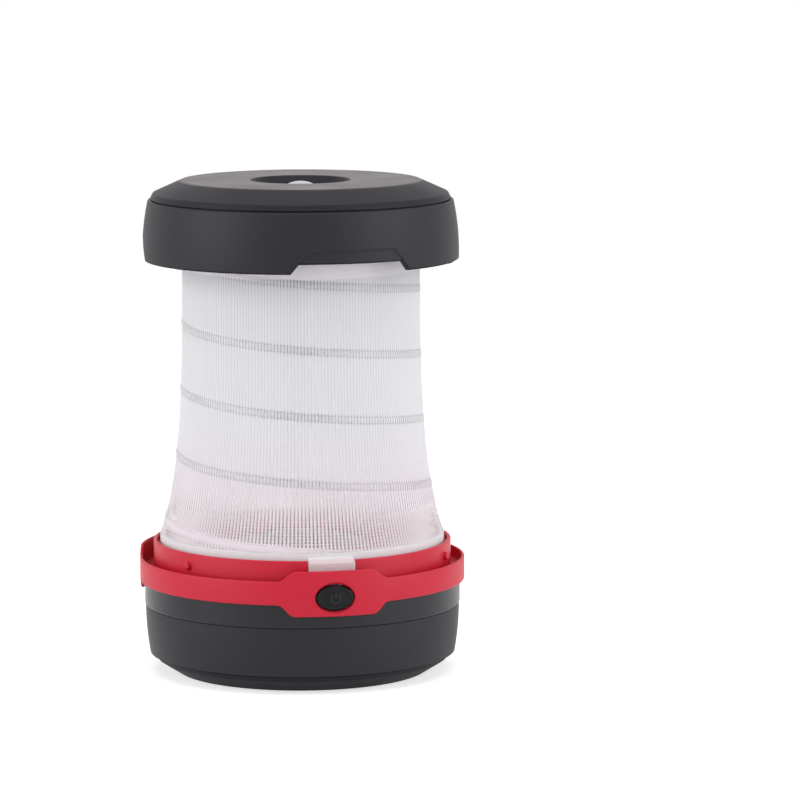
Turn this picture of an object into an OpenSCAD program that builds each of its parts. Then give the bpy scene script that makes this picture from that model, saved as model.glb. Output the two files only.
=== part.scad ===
// Collapsible camping lantern: battery base, fabric sleeve on a coil spring,
// and a bayonet cap with a torch lens. Millimetres, Z up, origin on the
// standing face under the middle. The push button faces -Y.

/* [Overall] */
// Height from the standing face to the top of the cap, pulled open
total_h = 136; // [130:0.5:142]
// How far the cap comes down onto the base when closed
collapse_travel = 83.8; // [80:0.1:84]
// Radius of the red ring, the widest place
ring_r = 45; // [44.9:0.1:45.6]

/* [Base] */
// Height of the standing cover, up to the seam with the base wall
cover_h = 4.8; // [4.6:0.1:5]
// Outer radius of the flat standing face
stand_r = 34.8; // [34.4:0.2:35.6]
// Radius of the base wall at its lip
wall_r = 43.7; // [43.6:0.05:43.75]
// Height of the styling lip round the base wall
lip_z = 18.7; // [17:0.1:20]
// Height of the shoulder that carries the red ring
shoulder_z = 25.1; // [24.8:0.1:25.4]
// Height of the base wall's top edge
rim_z = 27.6; // [27.4:0.1:28.2]
// Height of the red collar's top edge
collar_top = 36.6; // [36.4:0.1:36.8]
// Outer radius of the red collar
collar_r = 41.2; // [41:0.05:41.25]

/* [Carry handle] */
// Radius of the recess under the base
recess_r = 30; // [29.8:0.1:30.4]
// Depth of the channel that the handle folds into
channel_depth = 4.8; // [4.6:0.1:5]
// Outer radius of the handle's bow
bail_r = 29.2; // [28.6:0.1:29.3]
// Width of the handle's bow
bail_w = 7; // [6:0.1:7.2]
// Thickness of the handle
bail_t = 3.6; // [3.2:0.1:3.7]
// Radius of the handle's pivot pins
pin_r = 1; // [0.9:0.05:1.1]
// Direction of the pivot axis, anticlockwise from +X
bail_az = 240; // [235:1:245]

/* [Ring, button and switch] */
// Height of the red band's top edge
band_top = 31.6; // [31.4:0.1:31.8]
// Height of the button's middle
button_z = 27.1; // [26.9:0.1:27.3]
// Width of the button
button_w = 10; // [9.5:0.1:10.4]
// Height of the button
button_h = 6.6; // [6.2:0.1:6.8]

/* [Sleeve] */
// Radius of the sleeve at its waist
waist_r = 32.4; // [32:0.1:32.6]
// Thickness of the sleeve's fabric
fabric_t = 0.6; // [0.4:0.1:0.8]
// Height gained by one turn of the coil spring
coil_pitch = 18; // [17:0.5:19]
// Radius of the coil spring's wire
coil_wire_r = 0.55; // [0.4:0.05:0.6]

/* [Cap] */
// Height of the cap
cap_h = 21.9; // [21.7:0.1:22.1]
// Radius of the cap's flat top
cap_flat_r = 32.8; // [32:0.2:33.4]
// Radius of the torch opening in the cap's top
torch_r = 13.9; // [13.5:0.1:14.3]
// Inner radius of the cap's skirt
skirt_in_r = 41.6; // [41.55:0.05:41.7]
// Turn of the cap from its locked place, which frees the bayonet
cap_turn = 8; // [6:0.5:9]

/* [Hidden] */
$fn = 96;

dark = [0.2, 0.2, 0.22];
red = [0.86, 0.1, 0.16];
white = [0.93, 0.93, 0.94];
steel = [0.72, 0.73, 0.75];
green = [0.1, 0.36, 0.22];

// gaps between moving pieces, and the fit of a turning pin
gap = 0.3;
pin_fit = 0.05;
// looseness between fixed pieces that are pushed together
seat_fit = 0.05;

// base wall
wall_bottom = cover_h + gap;
floor_z = 20.4;
floor_t = 1.6;
deck_floor = floor_z + floor_t;
collar_t = 1.8;
collar_lip_t = 1;
collar_bottom = 24;
shelf_r = collar_r - collar_t - 0.2;
rebate_r = wall_r - 0.5;
wall_bow = 1.2;
// overhang of the lip over the wall below it
lip_step = 0.2;
// flange of the red ring, which covers the wall's top edge
flange_t = 0.7;
channel_z = rim_z + flange_t;
lip_in_r = 39.9;
lip_top = 7.2;

// bayonet of the standing cover
spigot_r = lip_in_r - 0.4;
spigot_top = 9;
cover_tab_r = 40.7;
cover_tab_z = 7.6;
cover_tab_half = 8;
cover_unlock = 20;

// recess and handle
recess_depth = 1;
island_r = recess_r - 9;
bail_axis_z = 0.8 + bail_t / 2;
bail_in_r = bail_r - bail_w;
skin = 1.6;
pocket_y = -3.4;
notch_ramp = [7, 11];

// batteries: three AAA cells side by side along X
cell_r = 5.2;
cell_len = 44.5;
cell_nub = 1;
cell_pitch = 11.6;
cell_z = 12.8;
spring_len = 3;
bay_x = (cell_len + spring_len) / 2;
plate_t = 0.4;
bay_wall = 1.6;
holder_x = bay_x + plate_t + bay_wall;
holder_y = cell_pitch + cell_r + 0.4 + bay_wall;
holder_bottom = 8;
ear_x = [-21, 21];
ear_y = holder_y + 3.2;
lead_r = 0.5;
lead_y = -3;
lead_x = bay_x + plate_t / 2;
lead_route = [[lead_x, cell_z + 4.5], [lead_x, 22.6], [23.2, 25.2], [19.6, 27.4], [16.4, 28.7],
    [15.4, 30.7]];

// panels of the red ring, as half angles and heights
plate_half = 18.9;
plate_top_half = 14.4;
plate_bottom_half = 15.1;
plate_z = [22, 34.4];
ring_bevel = 0.4;
panel_in_r = ring_r - 0.8;
lug_z = 33.2;
lug_r = 1.15;
lug_out_r = 42.3;
lug_angles = [60, 180, 300];

// button and switch, measured along -Y
press = 0.5;
button_face = 45.7;
button_back = 44.05;
stem_w = 6;
stem_h = 4;
flange_y = [39.6, 40.6];
tact_y = [34.8, 38.3];
board_t = 1.6;
plunger_r = 1.7;

// light engine
led_board_z = 31;
led_board_r = 17;
led_top = led_board_z + board_t;
led_ring_r = 12;
led_count = 6;
post_r = 14.6;
deck_open_r = 17.4;

// sleeve and coil
hem_r = collar_r - collar_t - 0.1;
hem_top = 38.5;
hoop_z = total_h - 8.8;
coil_start = hem_top + coil_wire_r + 0.05;
// a height at which the wire crosses the front
coil_front_z = 38;
coil_end = hoop_z - coil_wire_r - 0.05;
flare_r = hem_r - waist_r;
flare_len = 20;
mouth_flare = 0.8;
mouth_len = 13;

// cap
cap_rim = total_h - cap_h;
cap_seam = total_h - 5.1;
skirt_r = wall_r - 0.15;
bulge_z = total_h - 19.5;
flange_z = [total_h - 10.6, total_h - 9.1];
hoop_open_r = 34.6;
retainer_screw_r = 36.4;
reflector_screw_r = 13.4;
notch_h = 2.65;
pocket_h = 6;
lens_r = 7.6;
lens_seat = total_h - 5.2;
lens_top = total_h - 0.45;

// shapes in the plane and round the axis
function arc(r, a0, a1, n) = [for (i = [0 : n]) let (a = a0 + (a1 - a0) * i / n) [r * cos(a), r * sin(a)]];
function sleeve_r(z) = waist_r + flare_r * exp(-(z - hem_top) / flare_len)
    + mouth_flare * exp(-(hoop_z - z) / mouth_len);
function base_wall(z) = wall_r - lip_step - wall_bow * pow((lip_z - z) / (lip_z - wall_bottom), 2);
function skirt_wall(z) = skirt_r - 1.6 * pow((z - bulge_z) / (cap_seam - bulge_z), 2);

// an outline with a soft curve at every corner, which starts at the given reach from it
function rounded(outline, reach) = let (last = len(outline) - 1, n = 4)
    [for (i = [0 : last])
        let (b = outline[i], u = outline[i == 0 ? last : i - 1] - b, v = outline[i == last ? 0 : i + 1] - b,
            a = b + u * reach / norm(u), c = b + v * reach / norm(v))
        for (k = [0 : n]) let (t = k / n) (1 - t) * (1 - t) * a + 2 * t * (1 - t) * b + t * t * c];

module turned(points) { rotate_extrude() polygon(points); }
module ring(r_in, r_out, z0, z1) {
    turned([[r_in, z0], [r_out, z0], [r_out, z1], [r_in, z1]]);
}
// a wedge from the axis outwards, between two angles from the front
module sector(a0, a1, z0, z1, r = 60) {
    translate([0, 0, z0]) linear_extrude(z1 - z0)
        polygon(concat([[0, 0]], arc(r, a0 - 90, a1 - 90, max(2, ceil((a1 - a0) / 10)))));
}
// a bar along -Y with an elliptical outline, between two distances from the axis
module oval_bar(w, h, y0, y1) {
    translate([0, -y0, button_z]) rotate([90, 0, 0]) linear_extrude(y1 - y0) oval(w, h);
}
module oval(w, h) { polygon([for (a = [0 : 10 : 350]) [w / 2 * cos(a), h / 2 * sin(a)]]); }
// things set round the axis at equal angles
module around(count, r, start = 0) {
    for (i = [0 : count - 1]) rotate([0, 0, start + 360 * i / count]) translate([r, 0, 0]) children();
}
// a self-tapping screw with its head at z = 0 and its shank upwards
module screw(head_r, shank_r, len) {
    difference() {
        union() {
            translate([0, 0, -1.2]) cylinder(r = head_r, h = 1.2);
            cylinder(r = shank_r, h = len);
        }
        translate([0, 0, -1.3]) for (a = [0, 90]) rotate([0, 0, a])
            translate([-head_r * 0.62, -0.25, 0]) cube([head_r * 1.24, 0.5, 0.8]);
    }
}
// a thin lead along points [x, z] in a plane of constant y, with 8 flat sides
module lead_tube(route, y, r) {
    sides = 8;
    last = len(route) - 1;
    function heading(i) = let (d = route[min(i + 1, last)] - route[max(i - 1, 0)]) d / norm(d);
    points = [for (i = [0 : last]) for (j = [0 : sides - 1])
        let (h = heading(i), b = 360 * j / sides)
        [route[i][0] - h[1] * r * cos(b), y + r * sin(b), route[i][1] + h[0] * r * cos(b)]];
    helix_skin(points, last, sides, false);
}
// a helical wire as one closed skin: centre radius by turn, start angle, turns
module helix(r0, r1, z0, z1, turns, wire_r, start, steps, sides) {
    n = ceil(turns * steps);
    function at(i) = let (t = i / n, r = r0 + (r1 - r0) * t) [r, start + 360 * turns * t, z0 + (z1 - z0) * t];
    points = [for (i = [0 : n]) for (j = [0 : sides - 1])
        let (c = at(i), b = 360 * j / sides, r = c[0] + wire_r * cos(b))
        [r * cos(c[1]), r * sin(c[1]), c[2] + wire_r * sin(b)]];
    helix_skin(points, n, sides, turns < 0);
}
// joins rings of points into a tube; flip turns the faces for a left-handed coil
module helix_skin(points, n, sides, flip) {
    quads = [for (i = [0 : n - 1]) for (j = [0 : sides - 1])
        let (a = i * sides + j, b = i * sides + (j + 1) % sides) [a, b, b + sides, a + sides]];
    ends = [[for (j = [sides - 1 : -1 : 0]) j], [for (j = [0 : sides - 1]) n * sides + j]];
    polyhedron(points, [for (f = concat(quads, ends)) flip ? [for (k = [len(f) - 1 : -1 : 0]) f[k]] : f]);
}

// ---- base ----------------------------------------------------------------

// outer wall with the floor that carries the electronics, the posts of the
// light board, and the inward lip that the standing cover locks behind
module base_shell() {
    color(dark) difference() {
        union() {
            turned(concat(
                [for (z = [wall_bottom : 1.5 : lip_z - 0.4]) [base_wall(z), z]],
                [[wall_r - lip_step, lip_z - 0.25], [wall_r - 0.4, lip_z - 0.1],
                 [wall_r - 0.15, lip_z], [wall_r, lip_z + 0.3],
                 [wall_r, shoulder_z], [rebate_r, shoulder_z], [rebate_r, rim_z - 0.4],
                 [rebate_r - 0.4, rim_z], [collar_r + seat_fit, rim_z], [collar_r + seat_fit, collar_bottom],
                 [shelf_r, collar_bottom], [shelf_r, deck_floor], [0, deck_floor], [0, floor_z],
                 [wall_r - 3, floor_z], [wall_r - 2.7, floor_z - 1],
                 [wall_r - 2.7, lip_top], [lip_in_r, lip_top], [lip_in_r, wall_bottom]]));
            around(3, post_r, 90) translate([0, 0, deck_floor - 0.5])
                cylinder(r = 2.4, h = led_board_z - deck_floor + 0.5);
            for (s = [-1, 1]) translate([s * 10.5 - 1.5, -tact_y[0] - 1.4, deck_floor - 0.5])
                cube([3, 4.4, 7]);
            for (x = ear_x, s = [-1, 1]) translate([x, s * ear_y, floor_z - 6.4])
                cylinder(r = 2.6, h = 6.9);
        }
        around(3, post_r, 90) translate([0, 0, led_board_z - 6]) cylinder(r = 0.9, h = 7);
        for (x = ear_x, s = [-1, 1]) translate([x, s * ear_y, floor_z - 7]) cylinder(r = 0.9, h = 6);
        for (s = [-1, 1]) translate([s * 10.5 - 2, -tact_y[0], deck_floor]) cube([4, board_t, 8]);
        oval_bar(stem_w + 2 * gap, stem_h + 2 * gap, 36, 46);
        oval_bar(button_w + 0.8, button_h + 0.8, button_back - press - 0.4, 46);
        for (a = [0 : 120 : 240]) rotate([0, 0, a + cover_unlock])
            sector(-cover_tab_half - 1.2, cover_tab_half + 1.2, wall_bottom - 1, lip_top + 0.1,
                cover_tab_r + 0.7);
        for (s = [-1, 1]) translate([s * lead_x, lead_y, floor_z - 1]) cylinder(r = 1, h = 4);
    }
}

// cradle for the three cells, open downwards so that they drop out
module battery_holder() {
    color(dark) difference() {
        union() {
            translate([-holder_x, -holder_y, holder_bottom])
                cube([2 * holder_x, 2 * holder_y, floor_z - holder_bottom]);
            for (x = ear_x, s = [-1, 1]) translate([x, s * ear_y, floor_z - 8.4]) {
                cylinder(r = 2.6, h = 2);
                translate([-2.6, s > 0 ? holder_y - ear_y - 0.5 : 0, 0])
                    cube([5.2, ear_y - holder_y + 0.5, 2]);
            }
        }
        translate([-bay_x, bay_wall - holder_y, holder_bottom - 1])
            cube([2 * bay_x, 2 * (holder_y - bay_wall), cell_z - holder_bottom + 1]);
        for (k = [-1 : 1]) translate([-bay_x, k * cell_pitch, cell_z])
            rotate([0, 90, 0]) cylinder(r = cell_r + 0.4, h = 2 * bay_x);
        for (k = [-1 : 1], s = [-1, 1])
            translate([s * (bay_x + plate_t / 2) - plate_t / 2, k * cell_pitch - 4.6, holder_bottom - 1])
            cube([plate_t, 9.2, cell_z + 4.6 - holder_bottom + 1]);
        for (x = ear_x, s = [-1, 1]) translate([x, s * ear_y, floor_z - 9]) cylinder(r = 1.3, h = 3);
        for (s = [-1, 1]) translate([s * lead_x, lead_y, cell_z + 4]) cylinder(r = 1, h = 9);
    }
}

// flat contacts at both ends of the three cells
module contact_plates() {
    color(steel) for (k = [-1 : 1], s = [-1, 1])
        translate([s * (bay_x + plate_t / 2) - plate_t / 2, k * cell_pitch - 4.5, holder_bottom])
        cube([plate_t, 9, cell_z + 4.5 - holder_bottom]);
}

// conical springs at the negative ends; the middle cell lies the other way round
module contact_springs() {
    wire_r = 0.3;
    color(steel) for (k = [-1 : 1]) translate([0, k * cell_pitch, cell_z])
        rotate([0, 0, k == 0 ? 180 : 0]) translate([-bay_x, 0, 0]) rotate([0, 90, 0])
        helix(3.6, 2.2, wire_r, spring_len - wire_r, 3, wire_r, 0, 16, 6);
}

module battery(k) {
    color([0.55, 0.57, 0.6]) translate([0, k * cell_pitch, cell_z])
        rotate([0, 0, k == 0 ? 180 : 0]) translate([-bay_x + spring_len, 0, 0]) rotate([0, 90, 0])
        turned([[0, 0.2], [3.6, 0.2], [3.8, 0], [4.8, 0], [cell_r, 0.4],
            [cell_r, cell_len - cell_nub - 0.5],
            [cell_r - 0.5, cell_len - cell_nub], [1.9, cell_len - cell_nub], [1.9, cell_len - 0.2],
            [1.7, cell_len], [0, cell_len]]);
}
module battery_1() { battery(-1); }
module battery_2() { battery(0); }
module battery_3() { battery(1); }

// screws through the cradle's ears into the bosses under the floor
module holder_screws() {
    color(steel) for (x = ear_x, s = [-1, 1])
        translate([x, s * ear_y, floor_z - 8.4]) screw(2.2, 0.9, 6);
}

// wires from the middle cell's contacts up through the floor to the light board
module lead(s) {
    lead_tube([for (p = lead_route) [s * p[0], p[1]]], lead_y, lead_r);
}
module power_lead() { color(red) lead(1); }
module return_lead() { color(dark) lead(-1); }

// upright board that carries the push switch
module switch_board() {
    color(green) translate([-10.5, -tact_y[0], deck_floor]) cube([21, board_t, 9]);
}

// body of the push switch, with the bore that its plunger slides in
module tact_switch() {
    color(steel) difference() {
        translate([-3, -tact_y[1], button_z - 3]) cube([6, tact_y[1] - tact_y[0], 6]);
        translate([0, -tact_y[0] - 0.6, button_z]) rotate([90, 0, 0])
            cylinder(r = plunger_r + pin_fit, h = 4);
    }
}

module led_board() {
    color(green) difference() {
        translate([0, 0, led_board_z]) cylinder(r = led_board_r, h = board_t);
        around(3, post_r, 90) translate([0, 0, led_board_z - 1]) cylinder(r = 1.1, h = 4);
    }
}

// screws that hold the light board on its posts, heads up
module board_screws() {
    color(steel) around(3, post_r, 90) translate([0, 0, led_top]) rotate([180, 0, 0]) screw(1.9, 0.9, 6);
}

// surface-mounted LEDs of the lantern light
module lantern_leds() {
    color("khaki") around(led_count, led_ring_r, 0) translate([0, 0, led_top])
        translate([-1.75, -1.4, 0]) cube([3.5, 2.8, 0.8]);
}

// middle LED, which shines through the cap's lens when the lantern is closed
module torch_led() {
    color(white) translate([0, 0, led_top]) {
        translate([-3, -3, 0]) cube([6, 6, 0.8]);
        translate([0, 0, 0.6]) turned(concat([[0, 0]], arc(2.2, 0, 90, 8)));
    }
}

// milky bubble over the LEDs
module led_cover() {
    color(white) turned(concat(
        [[16.4, 34.2], [18.6, 34.2], [18.6, 35.2], [16.9, 35.2]],
        [for (x = [16.4 : -2 : 0.4]) [x, 38.6 - pow(x / 16.4, 2) * 3.4]],
        [[0, 38.6], [0, 37.6]],
        [for (x = [0.4 : 2 : 15.4]) [x, 37.6 - pow(x / 15.4, 2) * 3.2]]));
}

// red dish round the light cover, which closes the base below the sleeve
module reflector_deck() {
    color(red) turned([[deck_open_r, 32.9], [deck_open_r + 1.4, 32.9], [deck_open_r + 1.6, 34],
        [30, 34.6], [36.5, 36], [38.7, 36.4], [38.7, 37.4], [36.3, 37.1], [30, 35.8],
        [deck_open_r + 1.5, 35.3], [deck_open_r + 1.5, 34.2], [deck_open_r, 34.2]]);
}

// white ring that the sleeve's lower hem is fixed to; it sits inside the red
// collar, and its front tab fills the gap in the collar
module hem_ring() {
    color(white) {
        turned([[38, 34.6], [hem_r, 34.6], [hem_r, hem_top - 0.3], [hem_r - 0.3, hem_top], [38, hem_top],
            [38, 37.9], [38.8, 37.7], [38.8, 36.4], [38, 36.2]]);
        intersection() {
            turned([[hem_r, 31.2], [collar_r, 31.2], [collar_r, collar_top - 0.7],
                [collar_r - 0.6, collar_top], [hem_r, collar_top + 0.7]]);
            sector(-9, 9, 31, collar_top + 1);
        }
    }
}

// red collar inside the wall: three lugs take the cap's bayonet
module inner_collar() {
    color(red) {
        difference() {
            turned([[collar_r - collar_t, collar_bottom], [collar_r, collar_bottom],
                [collar_r, collar_top - 0.2], [collar_r - 0.2, collar_top],
                [collar_r - collar_lip_t, collar_top], [collar_r - collar_lip_t, collar_top - 1.6],
                [collar_r - collar_t, collar_top - 1.6]]);
            sector(-9.25, 9.25, collar_bottom - 1, collar_top + 1);
        }
        for (a = lug_angles) rotate([0, 0, a]) translate([0, -collar_r + 0.5, lug_z])
            rotate([90, 0, 0]) cylinder(r = lug_r, h = lug_out_r - collar_r + 0.5);
    }
}

// one of the ring's panels: flush with the band and taller than it, with slanted ends
module ring_panel() {
    x_band = ring_r * sin(plate_half);
    x_top = ring_r * sin(plate_top_half);
    x_low = ring_r * sin(plate_bottom_half);
    low = shoulder_z + ring_bevel;
    high = band_top - ring_bevel;
    side = [[x_low, plate_z[0]], [x_band, low], [x_band + 2.5, low], [x_band + 2.5, high],
        [x_band, high], [x_top, plate_z[1]]];
    intersection() {
        ring(panel_in_r, ring_r, plate_z[0], plate_z[1]);
        translate([0, -20, 0]) rotate([90, 0, 0]) linear_extrude(40)
            polygon(rounded(concat(side, [for (i = [5 : -1 : 0]) [-side[i][0], side[i][1]]]), 1));
    }
}

// red band over a flange that closes the gap to the collar; of its three
// panels, the front one takes the button
module red_ring() {
    color(red) difference() {
        union() {
            turned([[rebate_r + seat_fit, shoulder_z], [ring_r - ring_bevel, shoulder_z],
                [ring_r, shoulder_z + ring_bevel], [ring_r, band_top - ring_bevel],
                [ring_r - ring_bevel, band_top], [ring_r - 1, band_top],
                [ring_r - 1, channel_z], [collar_r + seat_fit, channel_z], [collar_r + seat_fit, rim_z],
                [rebate_r + seat_fit, rim_z]]);
            for (a = [0, 120, 240]) rotate([0, 0, a]) ring_panel();
        }
        oval_bar(button_w + 0.6, button_h + 0.6, 40, 50);
    }
}

// wire coil that holds the sleeve open, following the sleeve's waist
module coil_spring() {
    steps = 24;
    sides = 6;
    turns = (coil_end - coil_start) / coil_pitch;
    n = ceil(turns * steps);
    // the wire falls by one pitch per turn towards +X, as seen from the front
    function z_at(i) = coil_start + (coil_end - coil_start) * i / n;
    function angle_at(z) = -90 - 360 * (z - coil_front_z) / coil_pitch;
    points = [for (i = [0 : n]) for (j = [0 : sides - 1])
        let (z = z_at(i), b = 360 * j / sides + 30, a = angle_at(z),
            r = sleeve_r(z) - fabric_t - coil_wire_r - 0.12 + coil_wire_r * cos(b))
        [r * cos(a), r * sin(a), z + coil_wire_r * sin(b)]];
    color(steel) helix_skin(points, n, sides, true);
}

// woven sleeve between the hem ring and the upper hoop
module diffuser_sleeve() {
    steps = 22;
    heights = [for (i = [0 : steps]) hem_top + (hoop_z - hem_top) * pow(i / steps, 1.25)];
    color([0.95, 0.94, 0.93, 0.6]) turned(concat(
        [for (z = heights) [sleeve_r(z), z]],
        [for (i = [steps : -1 : 0]) [sleeve_r(heights[i]) - fabric_t, heights[i]]]));
}

// ---- standing cover and handle -------------------------------------------

// everything of the handle is drawn with its pivot axis on X and its bow towards +Y
module in_bail_frame() { rotate([0, 0, bail_az]) children(); }

// plan of the finger notch in the island, wide at the rim
module notch_plan(grow) {
    inner = notch_ramp[0] - 3 - grow;
    translate([0, 0, -2]) linear_extrude(13) polygon([[-4.2 - grow, inner], [4.2 + grow, inner],
        [4.4 + grow, notch_ramp[0]], [10 + grow, island_r + 1.5], [-10 - grow, island_r + 1.5],
        [-4.4 - grow, notch_ramp[0]]]);
}

module bottom_cover() {
    color(dark) difference() {
        union() {
            turned([[0, 0], [stand_r, 0], [stand_r + 5.4, cover_h - 1.4], [stand_r + 6.8, cover_h],
                [spigot_r, cover_h], [spigot_r, spigot_top], [spigot_r - 1.6, spigot_top],
                [spigot_r - 1.6, recess_depth + skin + 0.4], [0, recess_depth + skin + 0.4]]);
            in_bail_frame() intersection() {
                cylinder(r = recess_r + skin, h = channel_depth + skin);
                translate([-40, pocket_y - skin, 0]) cube([80, 80, 10]);
            }
            for (a = [0 : 120 : 240]) rotate([0, 0, a]) intersection() {
                ring(spigot_r - 1, cover_tab_r, cover_tab_z, spigot_top - 0.3);
                sector(-cover_tab_half, cover_tab_half, cover_tab_z - 1, spigot_top + 1);
            }
        }
        translate([0, 0, -1]) cylinder(r = recess_r, h = 1 + recess_depth);
        in_bail_frame() {
            // channel for the bow, with pockets behind the pivots
            intersection() {
                ring(island_r, recess_r - 0.3, -1, channel_depth);
                translate([-40, pocket_y, -1]) cube([80, 80, 10]);
            }
            // finger notch: level by the channel, ramped at its inner end
            intersection() {
                notch_plan(0);
                rotate([90, 0, 90]) translate([0, 0, -15]) linear_extrude(30)
                    polygon([[notch_ramp[0] - 2, -0.9], [notch_ramp[1], channel_depth],
                        [island_r + 1, channel_depth], [island_r + 1, -0.9]]);
            }
            // hollow above the island
            difference() {
                translate([0, 0, recess_depth + skin]) intersection() {
                    cylinder(r = island_r - skin, h = 10);
                    translate([-40, pocket_y, 0]) cube([80, 80, 10]);
                }
                notch_plan(skin);
            }
            pin_pair(pin_r, 13.4);
        }
    }
}

// both pivots of the handle, as two rods along X
module pin_pair(r, len) {
    for (s = [-1, 1]) translate([s * (bail_in_r + bail_w / 2), 0, bail_axis_z]) rotate([0, 90, 0])
        cylinder(r = r, h = len, center = true);
}

// steel pins that the handle turns on
module handle_pins() {
    color(steel) in_bail_frame() pin_pair(pin_r, 12.6);
}

// bow with a groove on its upper side and a finger tab in the middle
module handle() {
    color(red) in_bail_frame() difference() {
        union() {
            translate([0, 0, bail_axis_z - bail_t / 2]) linear_extrude(bail_t) intersection() {
                difference() {
                    circle(r = bail_r);
                    circle(r = bail_in_r);
                }
                translate([-40, 0]) square([80, 40]);
            }
            for (s = [-1, 1]) translate([s * (bail_in_r + bail_w / 2), 0, bail_axis_z])
                rotate([0, 90, 0]) cylinder(r = bail_t / 2, h = bail_w - 0.8, center = true);
            translate([0, 0, bail_axis_z - bail_t / 2]) linear_extrude(bail_t - 1.2)
                polygon([[-5.4, bail_in_r + 1], [-4.2, bail_in_r - 3.4],
                    [4.2, bail_in_r - 3.4], [5.4, bail_in_r + 1]]);
        }
        translate([0, 0, bail_axis_z + bail_t / 2 - 1.5]) linear_extrude(2) intersection() {
            difference() {
                circle(r = bail_r - 1.8);
                circle(r = bail_in_r + 1.6);
            }
            translate([-40, 5]) square([80, 40]);
        }
        pin_pair(pin_r + pin_fit, 14);
    }
}

// ---- button --------------------------------------------------------------

// rubber button: crowned face, stem through the wall, flange behind it
module button() {
    color([0.08, 0.08, 0.09]) {
        oval_bar(button_w, button_h, button_back, button_face - 0.7);
        oval_bar(button_w - 1, button_h - 1, button_face - 0.7, button_face - 0.3);
        oval_bar(button_w - 2.4, button_h - 2.4, button_face - 0.3, button_face);
        oval_bar(stem_w, stem_h, flange_y[0], button_back);
        oval_bar(stem_w + 1.6, stem_h + 1.2, flange_y[0], flange_y[1]);
    }
}

// sprung plunger of the push switch
module switch_plunger() {
    color([0.1, 0.1, 0.1]) translate([0, -tact_y[0] - 1.4, button_z]) rotate([90, 0, 0])
        cylinder(r = plunger_r, h = flange_y[0] - tact_y[0] - 1.5);
}

// ---- sleeve's upper end --------------------------------------------------

// ring that the sleeve's upper hem is fixed to; the cap turns on its rim
module upper_hoop() {
    color(white) turned([[31.8, hoop_z], [38, hoop_z], [38, hoop_z + 1.2],
        [34.2, hoop_z + 1.2], [34.2, hoop_z + 2.6], [31.8, hoop_z + 2.6]]);
}

// ---- cap -----------------------------------------------------------------

// slanted notch in the rim, with a shallow pocket above it that the ring's
// panels nest in
module rim_notch(a) {
    rotate([0, 0, a]) {
        notch_wedge(-0.5, notch_h, 23, 20, 30);
        difference() {
            notch_wedge(notch_h, pocket_h, 20, 16, 30);
            cylinder(r = skirt_r - 0.45, h = 200);
        }
    }
}
module notch_wedge(z0, z1, half0, half1, depth) {
    x0 = skirt_r * sin(half0);
    x1 = skirt_r * sin(half1);
    translate([0, -depth, cap_rim]) rotate([90, 0, 0]) linear_extrude(20)
        polygon([[-x0, z0], [x0, z0], [x1, z1], [-x1, z1]]);
}

// bayonet groove inside the skirt: straight in from the rim, then sideways
module bayonet(a) {
    half = (lug_r + gap) / collar_r * 180 / PI;
    run_z = lug_z - (cap_rim - collapse_travel) + cap_rim;
    deep = lug_out_r + gap;
    rotate([0, 0, a]) intersection() {
        ring(skirt_in_r - 1, deep, cap_rim - 1, run_z + lug_r + gap);
        union() {
            sector(-half, half, cap_rim - 2, run_z + lug_r + gap);
            sector(-half, cap_turn + half, run_z - lug_r - gap, run_z + lug_r + gap);
        }
    }
}

module cap_shell() {
    color(dark) difference() {
        turned(concat(
            [[skirt_in_r, cap_rim + 0.3], [skirt_in_r + 0.3, cap_rim], [skirt_r - 0.8, cap_rim],
             [skirt_r - 0.3, cap_rim + 0.2], [skirt_r - 0.1, cap_rim + 0.9]],
            [for (z = [bulge_z : 2 : cap_seam - 1.2]) [skirt_wall(z), z]],
            [[skirt_wall(cap_seam - 0.5), cap_seam - 0.5], [skirt_wall(cap_seam) - 0.3, cap_seam - 0.3],
             [40.8, cap_seam - 0.3], [40.8, flange_z[1]], [hoop_open_r, flange_z[1]],
             [hoop_open_r, flange_z[0]], [skirt_in_r, flange_z[0]]]));
        for (a = [0, 120, 240]) rim_notch(cap_turn + a);
        for (a = lug_angles) bayonet(a);
    }
}

// top of the cap: chamfered plate with the torch well in the middle
module cap_top() {
    color(dark) difference() {
        union() {
            turned([[0, total_h - 7.6], [10.6, total_h - 7.6], [15.4, total_h - 2.2], [32.8, total_h - 2.2],
                [38.9, total_h - 5], [38.9, flange_z[1]], [40.7, flange_z[1]], [40.7, cap_seam],
                [41.4, cap_seam], [40.6, total_h - 3.5], [cap_flat_r, total_h], [0, total_h]]);
            around(3, retainer_screw_r, 90) translate([0, 0, hoop_z + 3]) cylinder(r = 2, h = 2.9);
            around(3, reflector_screw_r, 30) translate([0, 0, total_h - 8.1]) cylinder(r = 2.2, h = 7);
        }
        turned([[0, lens_seat - 0.9], [9.4, lens_seat - 0.9], [torch_r - 0.4, total_h - 0.5],
            [torch_r, total_h], [torch_r, total_h + 1], [0, total_h + 1]]);
        translate([0, 0, total_h - 9]) cylinder(r = lens_r + 0.1, h = 6);
        around(3, retainer_screw_r, 90) translate([0, 0, hoop_z + 2]) cylinder(r = 0.9, h = 3.5);
        around(3, reflector_screw_r, 30) translate([0, 0, total_h - 9]) cylinder(r = 0.9, h = 5);
    }
}

// ring over the hoop's rim, which keeps the cap on the sleeve
module hoop_retainer() {
    color(dark) difference() {
        ring(hoop_open_r, 38.7, hoop_z + 1.5, hoop_z + 3);
        around(3, retainer_screw_r, 90) translate([0, 0, hoop_z]) cylinder(r = 1.1, h = 5);
        around(3, retainer_screw_r, 90) translate([0, 0, hoop_z + 1]) cylinder(r = 1.6, h = 1.3);
    }
}

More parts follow.
